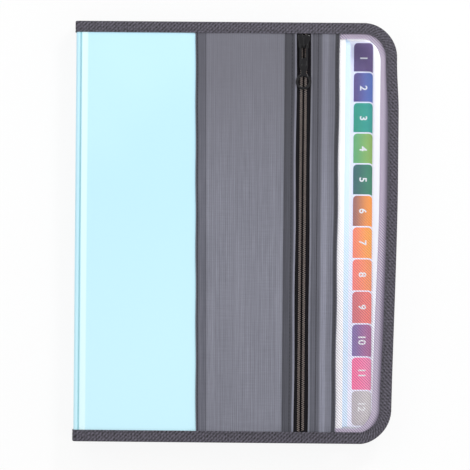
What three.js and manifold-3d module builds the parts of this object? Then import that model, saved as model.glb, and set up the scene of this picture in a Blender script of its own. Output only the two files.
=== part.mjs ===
// An expanding file folder with a wrap-round cover, lying closed on its back cover.
// Millimetres, +Z up. X runs from the spine on the left to the opening edge, Y from foot to head.
import * as THREE from "three";
import * as BufferGeometryUtils from "three/addons/utils/BufferGeometryUtils.js";
import Module from "manifold-3d";

const wasm = await Module();
wasm.setup();

// The closed folder
const width = 254;
const height = 330;
const thickness = 34; // over the two bound covers, without the pocket and its zip
const cornerRadius = 27; // at the opening edge

// Cover sheets and the ribbon sewn round their edges
const sheetT = 1.2;
const ribbonT = 0.6;
const ribbonWidth = 9;
const sewnGap = 0.25; // between a sheet and the ribbon or cloth sewn to it
const foldGap = 0.3; // from a cover sheet's edge to its fold line
const foldRelief = 1.3; // bare sheet between the fold line and the end of a ribbon
const scoreInset = 3.9; // score line on the front sheet, from the spine's outer face
const scoreDepth = 0.4;
const scoreWidth = 1.2;

// File: end panels, folded gusset, dividers with tabs
const dividerCount = 12;
const panelT = 0.6;
const dividerT = 0.4;
const layerGap = 0.3; // between the file's separate layers
const headroom = 0.5; // from the gusset to the ribbon's inner edge
const spineRoom = 0.8; // from the gusset to the spine sheet
const foldDepth = 2.2; // how far the gusset folds in
const foldWall = 1.2; // width of the gusset's sheet, measured along the fold
const rearPanelInset = 13; // from the opening edge to the rear panel's edge
const rearPanelRadius = 16;
const tabInset = 18.6; // from the opening edge to the ends of the tabs
const tabLength = 19.4; // how far a tab stands out of its divider
const frontPanelShort = 4; // how far the front panel stops short of the dividers' edge
const gussetShort = 3; // the same for the gusset
const dividerRadius = 4;

// Tabs and their labels, from the head down; each tab steps a little further than the one before
const stepGrowth = 0.25;
const labelHeight = 27;
const labelWidth = 15;
const labelT = 0.2;
const labelGap = 0.1;
const labelRadius = 3;
const tabBorder = 1.1;

// Front cover: the blue sheet, the clear window that goes on from it, and the cloth pocket on both
const windowLap = 6.5; // from the window film's edge, under the strip, to the strip's edge
const windowGap = 0.3;
const windowT = 0.5;
const clothT = 0.7;
const hemT = 1.1; // cloth folded double
const pocketInset = 95; // from the spine's outer face to the pocket
const pocketHem = 7.8;
const facingWidth = 7.5; // doubled cloth beside the zip
const stripInset = 12.8; // from the labels to the strip's edge
const ridgeInset = 7.9; // from the strip's edge to the ridge
const ridgeWidth = 4.8;
const ridgeHeight = 0.5;

// Zip
const zipInset = 27.3; // from the strip's edge to the middle of the zip
const zipTapeWidth = 12;
const zipTapeT = 0.4;
const zipTapeInset = 0.9; // from the zip's middle to the edge of each tape
const coilWidth = 2.4;
const coilHeight = 1.2;
const coilGap = 1; // between the two coils, where the slider's post runs
const toothPitch = 1.5;
const toothDepth = 0.9;
const toothRoot = 0.8; // width of a tooth where it leaves the coil's back
const toothTip = 0.5;
const runGap = 0.2; // round everything that the slider passes
const clothClearLeft = 2.4; // from the slider's flanges to the cloth's fold, left of the zip
const clothClearRight = 1.2;

// Slider and its pull
const plateT = 0.7;
const sliderLength = 11;
const sliderLip = 0.3; // how far the plates reach past the flanges
const sliderFlare = 1; // how much wider the head is than the tail, each side
const sliderHeadRoom = 0.4; // from the slider to the ribbon at the head
const sliderCorner = 1; // radius of the tail's corners
const sliderNotch = 0.6; // half the width of the notch where the two chains come in
const postWidth = 0.5;
const flangeT = 0.7;
const flangeInset = 0.5; // from the slider's tail to its flanges
const bailWidth = 1.8;
const bailHeight = 2.9;
const bailWall = 0.9;
const bailFoot = 0.8; // from the slider's tail to the bail
const bailHeadInset = 1.6; // from the bail to the slider's head
const bailLean = 0.4; // how far the bail's head end leans back
const bailCorner = 1;
const pullT = 1.2;
const pivotInset = 2.7; // from the slider's tail to the pull's cross bar
const pivotHeight = 1; // above the slider's top plate
const pullTilt = 1.9; // degrees, resting on the coils
const eyeWidth = 6.8;
const eyeLength = 19;
const eyeCorner = 1.4;
const shoulder = 3; // height of the curve between the eye's straight side and the waist
const slotWidth = 3.2;
const slotLength = 10;
const waistWidth = 4;
const ringCentre = 28.8; // from the cross bar
const ringOuter = 6.2;
const ringInner = 4.1;
const recessLength = 4.5; // shallow panel sunk in the eye, between its slot and the waist
const recessDepth = 0.3;
const recessRim = 1.1;
const pullBevel = 0.2;

// Places worked out from the sizes above
const left = -width / 2;
const right = width / 2;
const head = height / 2;
const edgeInset = ribbonT + sewnGap;
const boundT = sheetT + 2 * edgeInset;
const backBottom = edgeInset;
const backTop = backBottom + sheetT;
const frontTop = thickness - edgeInset;
const frontBottom = frontTop - sheetT;
const spineOuter = left + edgeInset;
const foldX = spineOuter + sheetT;
const inHead = head - ribbonWidth;

// Places across the front, from the opening edge towards the spine
const tabRight = right - tabInset;
const labelLeft = tabRight - tabBorder - labelWidth;
const dividerRight = tabRight - tabLength;
const stripRight = labelLeft - stripInset;
const sheetRight = stripRight - windowLap;
const zipX = stripRight - zipInset;
const flangeInner = coilGap / 2 + coilWidth + runGap;
const flangeOuter = flangeInner + flangeT;

const degrees = Math.PI / 180;
const group = new THREE.Group();

function finish(colour, roughness, metalness = 0) {
  return new THREE.MeshStandardMaterial({ color: colour, roughness, metalness });
}

const blue = finish(0x9fe6f5, 0.25);
const clear = finish(0xe8ecf8, 0.15);
const cloth = finish(0x686a78, 0.9);
const ribbon = finish(0x4a4654, 0.85);
const black = finish(0x17161a, 0.6);
const metal = finish(0x1b1a1e, 0.3, 0.8);
const white = finish(0xf6f6f8, 0.5);
const paleBlue = finish(0xd2e2f4, 0.35);

function add(name, geometry, material) {
  const mesh = new THREE.Mesh(geometry, material);
  mesh.name = name;
  group.add(mesh);
  return mesh;
}

// A closed mesh with only positions and shared corners, its faces turned outwards
function closed(geometry) {
  const bare = geometry.clone();
  bare.deleteAttribute("normal");
  bare.deleteAttribute("uv");
  const merged = BufferGeometryUtils.mergeVertices(bare, 1e-5);
  const p = merged.attributes.position;
  const index = Array.from(merged.index.array);
  const [a, b, c] = [new THREE.Vector3(), new THREE.Vector3(), new THREE.Vector3()];
  let volume = 0;
  for (let i = 0; i < index.length; i += 3) {
    a.fromBufferAttribute(p, index[i]);
    b.fromBufferAttribute(p, index[i + 1]);
    c.fromBufferAttribute(p, index[i + 2]);
    volume += a.dot(b.cross(c));
  }
  if (volume < 0) index.reverse();
  merged.setIndex(index);
  return merged;
}

function toSolid(geometry) {
  const body = closed(geometry);
  return new wasm.Manifold(new wasm.Mesh({
    numProp: 3,
    vertProperties: Float32Array.from(body.attributes.position.array),
    triVerts: Uint32Array.from(body.index.array),
  }));
}

function toGeometry(solid) {
  const mesh = solid.getMesh();
  const geometry = new THREE.BufferGeometry();
  geometry.setAttribute("position", new THREE.BufferAttribute(mesh.vertProperties, 3));
  geometry.setIndex(new THREE.BufferAttribute(mesh.triVerts, 1));
  return geometry;
}

// Several overlapping geometries joined into one
function join(...geometries) {
  return toGeometry(geometries.map(toSolid).reduce((whole, piece) => whole.add(piece)));
}

// A flat plate with the given outline in X and Y
function plate(outline, z0, z1, curveSegments = 3) {
  const options = { depth: z1 - z0, bevelEnabled: false, curveSegments };
  return new THREE.ExtrudeGeometry(outline, options).translate(0, 0, z0);
}

// A length of constant section: profile points are [x, z], run along Y
function run(profile, y0, y1) {
  const outline = new THREE.Shape(profile.map(([x, z]) => new THREE.Vector2(x, z)));
  const options = { depth: y1 - y0, bevelEnabled: false };
  return new THREE.ExtrudeGeometry(outline, options).rotateX(Math.PI / 2).translate(0, y1, 0);
}

function box(x0, x1, y0, y1, z0, z1) {
  return new THREE.BoxGeometry(x1 - x0, y1 - y0, z1 - z0)
    .translate((x0 + x1) / 2, (y0 + y1) / 2, (z0 + z1) / 2);
}

// A rectangle whose left and right corners have their own radii
function rectangle(x0, x1, y0, y1, leftRadius, rightRadius, cornerSteps = 6) {
  const corners = [
    [x1, y0, rightRadius, -90],
    [x1, y1, rightRadius, 0],
    [x0, y1, leftRadius, 90],
    [x0, y0, leftRadius, 180],
  ];
  const points = [];
  for (const [x, y, radius, start] of corners) {
    const cx = x === x1 ? x - radius : x + radius;
    const cy = y === y1 ? y - radius : y + radius;
    for (let step = 0; step <= (radius > 0 ? cornerSteps : 0); step++) {
      const angle = (start + (90 * step) / cornerSteps) * degrees;
      points.push(new THREE.Vector2(cx + radius * Math.cos(angle), cy + radius * Math.sin(angle)));
    }
  }
  return new THREE.Shape(points);
}

// A closed section [inset, z] carried along stations, each a point with its inward direction
function sweep(section, stations) {
  const position = stations.flatMap((s) =>
    section.flatMap(([inset, z]) => [s.x + s.nx * inset, s.y + s.ny * inset, z]));
  const n = section.length;
  const index = [];
  for (let i = 0; i < stations.length - 1; i++) {
    for (let j = 0; j < n; j++) {
      const a = i * n + j;
      const b = i * n + ((j + 1) % n);
      index.push(a, b, b + n, a, b + n, a + n);
    }
  }
  const lid = THREE.ShapeUtils.triangulateShape(section.map(([u, z]) => new THREE.Vector2(u, z)), []);
  const last = (stations.length - 1) * n;
  for (const [a, b, c] of lid) {
    index.push(a, c, b, last + a, last + b, last + c);
  }
  const geometry = new THREE.BufferGeometry();
  geometry.setAttribute("position", new THREE.Float32BufferAttribute(position, 3));
  geometry.setIndex(index);
  return closed(geometry);
}

// The free edge of a cover: along the head, round both corners of the opening edge, back along the foot
function coverEdge(x0) {
  const cx = right - cornerRadius;
  const cy = head - cornerRadius;
  const stations = [{ x: x0, y: head, nx: 0, ny: -1 }];
  for (const side of [1, -1]) {
    for (let step = 0; step <= 10; step++) {
      const angle = (side === 1 ? 90 - 9 * step : -9 * step) * degrees;
      const [c, s] = [Math.cos(angle), Math.sin(angle)];
      stations.push({ x: cx + cornerRadius * c, y: side * cy + cornerRadius * s, nx: -c, ny: -s });
    }
  }
  stations.push({ x: x0, y: -head, nx: 0, ny: 1 });
  return stations;
}

// The ribbon folded over an edge: two legs and a rounded fold, [inset, height]
function ribbonSection(z0) {
  const z1 = z0 + boundT;
  const soft = ribbonT / 2;
  return [
    [0, z0 + soft], [soft, z0], [ribbonWidth, z0], [ribbonWidth, z0 + ribbonT], [ribbonT, z0 + ribbonT],
    [ribbonT, z1 - ribbonT], [ribbonWidth, z1 - ribbonT], [ribbonWidth, z1], [soft, z1], [0, z1 - soft],
  ];
}

function coverSheet(x0, z0, z1) {
  const radius = cornerRadius - edgeInset;
  return plate(rectangle(x0, right - edgeInset, edgeInset - head, head - edgeInset, 0, radius, 10), z0, z1);
}

// Back cover and its ribbon
add("back_cover_sheet", coverSheet(foldX + foldGap, backBottom, backTop), blue);
add("back_binding", sweep(ribbonSection(0), coverEdge(foldX + foldRelief)), ribbon);

// Spine, a strip of the same sheet with ribbon at head and foot
const spineHead = head - edgeInset;
const spineBottom = backTop + foldGap;
const spineTop = frontBottom - foldGap;
add("spine_sheet", box(spineOuter, foldX, -spineHead, spineHead, spineBottom, spineTop), blue);
for (const [name, side] of [["spine_binding_head", 1], ["spine_binding_foot", -1]]) {
  const section = ribbonSection(left).map(([inset, x]) => new THREE.Vector2(x, side * (head - inset)));
  add(name, plate(new THREE.Shape(section), backTop + foldRelief, frontBottom - foldRelief), ribbon);
}

// File: rear panel, gusset, dividers and front panel stand between the two covers
const fileLeft = foldX + spineRoom;
const fileHead = inHead - headroom;
const rearBottom = backTop + layerGap;
const rearTop = rearBottom + panelT;
const faceTop = frontBottom - layerGap;
const faceBottom = faceTop - panelT;
const gussetBottom = rearTop + layerGap;
const gussetTop = faceBottom - layerGap;
const pocketPitch = (gussetTop - gussetBottom) / (dividerCount + 1);
const panelHead = fileHead - layerGap;

const rearOutline = rectangle(fileLeft, right - rearPanelInset, -panelHead, panelHead, 0, rearPanelRadius);
add("rear_panel", plate(rearOutline, rearBottom, rearTop), white);

// Gusset: one film folded once between every two dividers, round head, spine side and foot
const zigzag = [];
for (let fold = 0; fold <= 2 * (dividerCount + 1); fold++) {
  zigzag.push([fold % 2 === 0 ? foldDepth : 0, gussetBottom + (fold * pocketPitch) / 2]);
}
const innerZigzag = zigzag.map(([inset, z]) => [inset + foldWall, z]);
const gussetRight = dividerRight - gussetShort;
const gussetPath = [
  { x: gussetRight, y: fileHead, nx: 0, ny: -1 },
  { x: fileLeft, y: fileHead, nx: 1, ny: -1 },
  { x: fileLeft, y: -fileHead, nx: 1, ny: 1 },
  { x: gussetRight, y: -fileHead, nx: 0, ny: 1 },
];
add("gusset", sweep([...innerZigzag, ...zigzag.reverse()], gussetPath), paleBlue);

// Dividers, the first at the rear with its tab at the head; a paper label lies on each tab
const dividerLeft = fileLeft + foldDepth + foldWall + layerGap;
const dividerHead = fileHead - foldDepth - foldWall - layerGap;
const tabRoot = dividerRight - 2 * dividerRadius;
const labelTop = dividerHead - tabBorder;
const growthSum = (stepGrowth * (dividerCount - 1) * (dividerCount - 2)) / 2;
const firstStep = (2 * labelTop - labelHeight - growthSum) / (dividerCount - 1);
for (let i = 0; i < dividerCount; i++) {
  const number = String(i + 1).padStart(2, "0");
  const z0 = gussetBottom + (i + 1) * pocketPitch - dividerT / 2;
  const z1 = z0 + dividerT;
  const y1 = labelTop - i * firstStep - (stepGrowth * i * (i - 1)) / 2;
  const y0 = y1 - labelHeight;
  const body = rectangle(dividerLeft, dividerRight, -dividerHead, dividerHead, 0, dividerRadius);
  const tabRadius = labelRadius + tabBorder;
  const tab = rectangle(tabRoot, tabRight, y0 - tabBorder, y1 + tabBorder, 0, tabRadius);
  add(`divider_${number}`, join(plate(body, z0, z1), plate(tab, z0, z1)), paleBlue);
  const label = rectangle(labelLeft, labelLeft + labelWidth, y0, y1, labelRadius, labelRadius);
  const paper = finish(new THREE.Color().setHSL(i / dividerCount, 0.6, 0.5), 0.4);
  add(`label_${number}`, plate(label, z1 + labelGap, z1 + labelGap + labelT), paper);
}

const frontPanelRight = dividerRight - frontPanelShort;
const faceOutline = rectangle(fileLeft, frontPanelRight, -panelHead, panelHead, 0, dividerRadius);
add("front_panel", plate(faceOutline, faceBottom, faceTop), white);

// Front cover sheet, scored beside the spine, and the clear window that goes on to the opening edge
const scoreX = spineOuter + scoreInset;
const frontProfile = [
  [foldX + foldGap, frontBottom], [sheetRight, frontBottom], [sheetRight, frontTop],
  [scoreX + scoreWidth / 2, frontTop], [scoreX, frontTop - scoreDepth], [scoreX - scoreWidth / 2, frontTop],
  [foldX + foldGap, frontTop],
];
add("front_cover_sheet", run(frontProfile, -spineHead, spineHead), blue);
add("window_film", coverSheet(sheetRight + windowGap, frontTop - windowT, frontTop), clear);
add("front_binding", sweep(ribbonSection(thickness - boundT), coverEdge(foldX + foldRelief)), ribbon);

// Zip levels above the front sheet: lower slider plate, tapes, coils, upper slider plate
const lowPlateBottom = frontTop + runGap;
const lowPlateTop = lowPlateBottom + plateT;
const tapeBottom = lowPlateTop + runGap;
const tapeTop = tapeBottom + zipTapeT;
const coilBottom = tapeTop + runGap / 2;
const coilTop = coilBottom + coilHeight;
const topPlateBottom = coilTop + runGap;
const topPlateTop = topPlateBottom + plateT;

// Cloth pocket: hemmed at its left, rising over the zip tape to a doubled facing
const zipEnd = inHead - layerGap;
const clothLow = frontTop + sewnGap;
const clothHigh = tapeTop + runGap;

// Height of the cloth's underside on its way from the sheet up to the zip tape, t from 0 to 1
function rise(t) {
  return clothLow + (clothHigh - clothLow) * t * t * (3 - 2 * t);
}

const pocketLeft = left + pocketInset;
const hemRight = pocketLeft + pocketHem;
const pocketRight = zipX - flangeOuter - clothClearLeft;
const facingLeft = pocketRight - facingWidth;
const tapeLeft = zipX - zipTapeInset - zipTapeWidth;
const slope = [];
const slopeSteps = 10;
for (let i = 0; i <= slopeSteps; i++) {
  const t = i / slopeSteps;
  slope.push([hemRight + (tapeLeft - hemRight) * t, rise(t)]);
}
const pocketUnder = [[pocketLeft, clothLow], ...slope, [pocketRight, clothHigh]];
const pocketOver = [
  [pocketRight, clothHigh + hemT], [facingLeft, clothHigh + hemT], [facingLeft, clothHigh + clothT],
  ...slope.map(([x, z]) => [x, z + clothT]).reverse(),
  [hemRight, clothLow + hemT], [pocketLeft, clothLow + hemT],
];
add("pocket_panel", run([...pocketUnder, ...pocketOver], -zipEnd, zipEnd), cloth);

// Cloth strip right of the zip: a doubled fold, a raised ridge, and a hem down on the window's edge
const stripLeft = zipX + flangeOuter + clothClearRight;
const ridgeRight = stripRight - ridgeInset;
const ridgeLeft = ridgeRight - ridgeWidth;
const stripFall = stripRight - ridgeRight;
const ridge = [];
const ridgeSteps = 6;
for (let i = ridgeSteps; i >= 0; i--) {
  const t = i / ridgeSteps;
  ridge.push([ridgeLeft + ridgeWidth * t, clothHigh + hemT + ridgeHeight * Math.sin(t * Math.PI)]);
}
const fall = [];
const fallSteps = 4;
for (let i = fallSteps; i >= 0; i--) {
  fall.push([stripRight - (stripFall * i) / fallSteps, rise(i / fallSteps)]);
}
const stripUnder = [[stripLeft, clothHigh], ...fall];
const stripOver = [
  ...fall.slice(1).reverse().map(([x, z]) => [x, z + hemT]), ...ridge, [stripLeft, clothHigh + hemT],
];
add("pocket_strip", run([...stripUnder, ...stripOver], -zipEnd, zipEnd), cloth);

// Zip: a tape and a coil each side. A coil's turns are drawn as a comb of teeth that face those of the other
// coil, half a pitch apart, as on a closed chain.
const toothCount = Math.floor((2 * zipEnd) / toothPitch) - 1;
const toothSlant = (toothRoot - toothTip) / 2;
for (const [side, sign] of [["left", -1], ["right", 1]]) {
  const tapeEdges = [zipX + sign * zipTapeInset, zipX + sign * (zipTapeInset + zipTapeWidth)];
  const tape = box(Math.min(...tapeEdges), Math.max(...tapeEdges), -zipEnd, zipEnd, tapeBottom, tapeTop);
  add(`zip_tape_${side}`, tape, black);
  const tip = zipX + (sign * coilGap) / 2;
  const root = tip + sign * toothDepth;
  const back = tip + sign * coilWidth;
  const comb = [new THREE.Vector2(back, -zipEnd), new THREE.Vector2(root, -zipEnd)];
  const firstTooth = -zipEnd + toothPitch * (sign > 0 ? 0.75 : 0.25);
  for (let tooth = 0; tooth < toothCount; tooth++) {
    const y = firstTooth + tooth * toothPitch;
    comb.push(new THREE.Vector2(root, y), new THREE.Vector2(tip, y + toothSlant));
    comb.push(new THREE.Vector2(tip, y + toothSlant + toothTip), new THREE.Vector2(root, y + toothRoot));
  }
  comb.push(new THREE.Vector2(root, zipEnd), new THREE.Vector2(back, zipEnd));
  add(`zip_coil_${side}`, plate(new THREE.Shape(comb), coilBottom, coilTop), black);
}

// Slider: two plates of one outline, joined by the post that parts the coils, with side flanges and a bail
const sliderTail = inHead - sliderHeadRoom - sliderLength;

function sliderOutline() {
  const tail = flangeOuter + sliderLip;
  const wide = tail + sliderFlare;
  const along = (share) => share * sliderLength;
  const outline = new THREE.Shape();
  outline.moveTo(-tail + sliderCorner, 0);
  outline.lineTo(tail - sliderCorner, 0);
  outline.quadraticCurveTo(tail, 0, tail, sliderCorner);
  outline.lineTo(tail, along(0.35));
  outline.quadraticCurveTo(tail, along(0.5), wide, along(0.65));
  outline.lineTo(wide, along(0.8));
  outline.quadraticCurveTo(wide, along(1), wide / 2, along(1));
  outline.quadraticCurveTo(sliderNotch, along(1), 0, along(0.88));
  outline.quadraticCurveTo(-sliderNotch, along(1), -wide / 2, along(1));
  outline.quadraticCurveTo(-wide, along(1), -wide, along(0.8));
  outline.lineTo(-wide, along(0.65));
  outline.quadraticCurveTo(-tail, along(0.5), -tail, along(0.35));
  outline.lineTo(-tail, sliderCorner);
  outline.quadraticCurveTo(-tail, 0, -tail + sliderCorner, 0);
  return outline;
}

const overlap = 0.1; // how far joined pieces of the slider reach into each other
const post = new THREE.Shape();
post.moveTo(0, 0.5 * sliderLength);
post.lineTo(postWidth / 2, 0.6 * sliderLength);
post.lineTo(postWidth / 2, 0.8 * sliderLength);
post.lineTo(0, 0.86 * sliderLength);
post.lineTo(-postWidth / 2, 0.8 * sliderLength);
post.lineTo(-postWidth / 2, 0.6 * sliderLength);

// Bail: a low bridge along the slider, [y, z] from its tail and its top plate, with a window for the pull
const bailEnd = sliderLength - bailHeadInset;
const bail = new THREE.Shape();
bail.moveTo(bailEnd, -overlap);
bail.quadraticCurveTo(bailEnd - bailLean, bailHeight, bailEnd - bailHeight, bailHeight);
bail.lineTo(bailFoot + bailCorner, bailHeight);
bail.quadraticCurveTo(bailFoot, bailHeight, bailFoot, bailHeight - bailCorner);
bail.lineTo(bailFoot, -overlap);
const bailWindow = new THREE.Path();
bailWindow.moveTo(bailFoot + bailWall, 0);
bailWindow.lineTo(bailFoot + bailWall, bailHeight - bailWall);
bailWindow.lineTo(bailEnd - bailHeight, bailHeight - bailWall);
bailWindow.lineTo(bailEnd - bailWall - bailCorner, 0);
bail.holes.push(bailWindow);
const bailOptions = { depth: bailWidth, bevelEnabled: false, curveSegments: 5 };
const bailGeometry = new THREE.ExtrudeGeometry(bail, bailOptions)
  .rotateX(Math.PI / 2)
  .rotateZ(Math.PI / 2)
  .translate(-bailWidth / 2, 0, topPlateTop);

const flanges = [-1, 1].map((sign) => {
  const edges = [sign * flangeInner, sign * flangeOuter];
  const flangeTop = topPlateBottom + overlap;
  const flangeLength = 0.7 * sliderLength;
  return box(Math.min(...edges), Math.max(...edges), flangeInset, flangeLength, tapeTop + runGap, flangeTop);
});
const slider = join(
  plate(sliderOutline(), topPlateBottom, topPlateTop),
  plate(sliderOutline(), lowPlateBottom, lowPlateTop),
  plate(post, lowPlateTop - overlap, topPlateBottom + overlap),
  bailGeometry,
  ...flanges,
);
add("zip_slider", slider, metal).position.set(zipX, sliderTail, 0);

// Pull: one flat piece, its cross bar in the bail, an oblong eye, a waist and a round ring
const eye = eyeWidth / 2;
const bar = pullT / 2;
const neck = waistWidth / 2;
const ringStart = Math.asin(neck / ringOuter);
const pullOutline = new THREE.Shape();
pullOutline.absarc(eye - eyeCorner, bar - eyeCorner, eyeCorner, 90 * degrees, 0, true);
pullOutline.lineTo(eye, shoulder - eyeLength);
pullOutline.quadraticCurveTo(eye, -eyeLength, neck, -eyeLength - 1);
pullOutline.absarc(0, -ringCentre, ringOuter, 90 * degrees - ringStart, -270 * degrees + ringStart, true);
pullOutline.lineTo(-neck, -eyeLength - 1);
pullOutline.quadraticCurveTo(-eye, -eyeLength, -eye, shoulder - eyeLength);
pullOutline.absarc(eyeCorner - eye, bar - eyeCorner, eyeCorner, 180 * degrees, 90 * degrees, true);
const slotEnd = slotWidth / 2;
const slot = new THREE.Path();
slot.moveTo(slotEnd, -bar);
slot.lineTo(-slotEnd, -bar);
slot.absarc(0, -bar - slotLength + slotEnd, slotEnd, 180 * degrees, 360 * degrees, false);
const ringHole = new THREE.Path();
ringHole.absarc(0, -ringCentre, ringInner, 0, 360 * degrees, false);
pullOutline.holes.push(slot, ringHole);
const pullOptions = {
  depth: pullT - 2 * pullBevel,
  bevelThickness: pullBevel,
  bevelSize: pullBevel,
  bevelOffset: -pullBevel,
  bevelSegments: 1,
  curveSegments: 8,
};
const pullBlank = new THREE.ExtrudeGeometry(pullOutline, pullOptions).translate(0, 0, pullBevel - pullT / 2);
const recessHead = -bar - slotLength - recessRim;
const recessEdge = eye - recessRim;
const recessOutline = rectangle(-recessEdge, recessEdge, recessHead - recessLength, recessHead, 1, 1, 3);
const recess = plate(recessOutline, pullT / 2 - recessDepth, pullT);
const pull = toGeometry(toSolid(pullBlank).subtract(toSolid(recess))).rotateX(pullTilt * degrees);
add("zip_pull", pull, metal).position.set(zipX, sliderTail + pivotInset, topPlateTop + pivotHeight);

export default group;
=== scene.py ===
import math

import bpy
import numpy as np
from mathutils import Matrix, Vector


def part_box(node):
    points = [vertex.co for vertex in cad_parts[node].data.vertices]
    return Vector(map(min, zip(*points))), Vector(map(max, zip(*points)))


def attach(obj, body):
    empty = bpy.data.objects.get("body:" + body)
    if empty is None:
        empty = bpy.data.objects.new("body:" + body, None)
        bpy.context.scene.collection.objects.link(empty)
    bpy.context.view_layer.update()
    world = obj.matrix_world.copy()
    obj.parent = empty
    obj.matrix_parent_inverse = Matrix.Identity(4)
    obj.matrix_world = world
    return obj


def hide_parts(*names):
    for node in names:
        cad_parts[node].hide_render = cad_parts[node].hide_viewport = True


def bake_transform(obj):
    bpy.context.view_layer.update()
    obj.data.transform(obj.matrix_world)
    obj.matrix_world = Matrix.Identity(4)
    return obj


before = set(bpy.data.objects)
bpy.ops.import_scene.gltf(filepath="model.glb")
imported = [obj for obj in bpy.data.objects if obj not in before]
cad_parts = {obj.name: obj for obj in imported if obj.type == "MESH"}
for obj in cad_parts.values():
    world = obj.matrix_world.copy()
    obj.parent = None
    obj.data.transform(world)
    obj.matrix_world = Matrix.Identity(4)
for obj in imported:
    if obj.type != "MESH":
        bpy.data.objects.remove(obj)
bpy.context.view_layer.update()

# Cover sheet: one coloured polypropylene sheet, 1.2 mm thick, scored and bent twice round the spine.
# It is drawn in three pieces that meet in the score lines of the spine; the two outer ones bend over
# the folds. The front one stops under the pocket's edge strip, where the clear window takes over.
MM = 0.001
SHEET = 1.2
BOUND = 34.0                        # over both bound covers
FACE = 33.15                        # the front sheet's upper face
SPINE_FACE = -126.15
FOLD_RADIUS = 2.6
SCORE_INSET = 3.9
SCORE_DEPTH = 0.4
SCORE_REACH = 0.6
SHEET_HEAD = 164.15
SHEET_END = 73.0
OPEN_EDGE = 126.15
CORNER = 26.15


def smooth(t):
    """t squared times (3 - 2t), with t held between 0 and 1."""
    t = np.clip(t, 0, 1)
    return t * t * (3 - 2 * t)


def bell(x, centre, reach):
    """e to the power of minus the square of (x - centre) / reach."""
    return np.exp(-(((x - centre) / reach) ** 2))


def ridden(piece, body, finish):
    """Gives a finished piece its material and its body."""
    piece.data.materials.clear()
    piece.data.materials.append(finish.material)
    if body:
        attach(piece, body)
    return piece


def surface(name, grid, flat=None, round_across=False, capped=False, crisp=40):
    """A mesh from points in mm: rows are stations, columns run across, and a quad joins every four
    neighbours. A fourth leading axis is a stack of such grids. Round across, the last column joins the first;
    capped, a face closes each end. flat holds the UV map in metres, one column longer where the grid is round.
    A closed mesh whose volume comes out negative has its faces turned."""
    stack = grid if grid.ndim == 4 else grid[None]
    copies, rows, columns = stack.shape[:3]
    wide = columns if round_across else columns - 1
    c, i, j = np.meshgrid(np.arange(copies), np.arange(rows - 1), np.arange(wide), indexing="ij")
    base, k = c * rows * columns, (j + 1) % columns
    corners = [(i, j, j), (i, k, j + 1), (i + 1, k, j + 1), (i + 1, j, j)]
    quads = np.stack([base + r * columns + q for r, q, _ in corners], -1).reshape(-1, 4)
    points = stack.reshape(-1, 3) * MM
    a, b, d, e = (points[quads[:, n]] for n in range(4))
    volume = (a * np.cross(b, d)).sum() + (a * np.cross(d, e)).sum()
    ends = []
    if capped:
        ring, start = np.arange(columns), np.arange(copies)[:, None] * rows * columns
        ends = [*(start + ring[::-1]), *(start + (rows - 1) * columns + ring)]
        for end in ends:
            p = points[end]
            volume += (p[0] * np.cross(p[1:-1], p[2:]).sum(0)).sum()
    turn = -1 if round_across and volume < 0 else 1
    faces = quads[:, ::turn].tolist() + [end[::turn].tolist() for end in ends]
    mesh = bpy.data.meshes.new(name)
    mesh.from_pydata(points.tolist(), [], faces)
    if flat is not None:
        layer = mesh.uv_layers.new(name="flat")
        laid = np.stack([flat[r, q] for r, _, q in corners], -2).reshape(-1, 4, 2)[:, ::turn]
        loose = np.zeros((sum(map(len, ends)), 2))
        uv = np.concatenate([laid.reshape(-1, 2), loose]).astype(np.float32)
        layer.data.foreach_set("uv", uv.ravel())
    mesh.polygons.foreach_set("use_smooth", np.ones(len(faces), bool))
    mesh.set_sharp_from_angle(angle=math.radians(crisp))
    piece = bpy.data.objects.new(name, mesh)
    bpy.context.scene.collection.objects.link(piece)
    return piece


class Value:
    """A number that changes over a surface; arithmetic on it adds Math nodes to its finish."""

    def __init__(self, finish, socket):
        self.finish, self.socket = finish, socket

    def math(self, operation, *terms):
        return Value(self.finish, self.finish.node("ShaderNodeMath", {"operation": operation}, terms))

    def __add__(self, other):
        return self.math("ADD", self, other)

    def __sub__(self, other):
        return self.math("SUBTRACT", self, other)

    def __rsub__(self, other):
        return self.math("SUBTRACT", other, self)

    def __mul__(self, other):
        return self.math("MULTIPLY", self, other)

    __radd__, __rmul__ = __add__, __mul__

    def wave(self, pitch):
        """Half of one plus the sine of a full turn for each pitch, in metres."""
        return self.math("SINE", self * (2 * math.pi / pitch)) * 0.5 + 0.5

    def step(self, low, high):
        """0 below low and 1 above high, smoothly between."""
        ends, settings = (self, low, high, 0.0, 1.0), {"interpolation_type": "SMOOTHSTEP"}
        return Value(self.finish, self.finish.node("ShaderNodeMapRange", settings, ends))

    def band(self, low, high, soft):
        """1 between low and high and 0 outside, with soft edges."""
        return self.step(low - soft, low + soft) * (1 - self.step(high - soft, high + soft))


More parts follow.
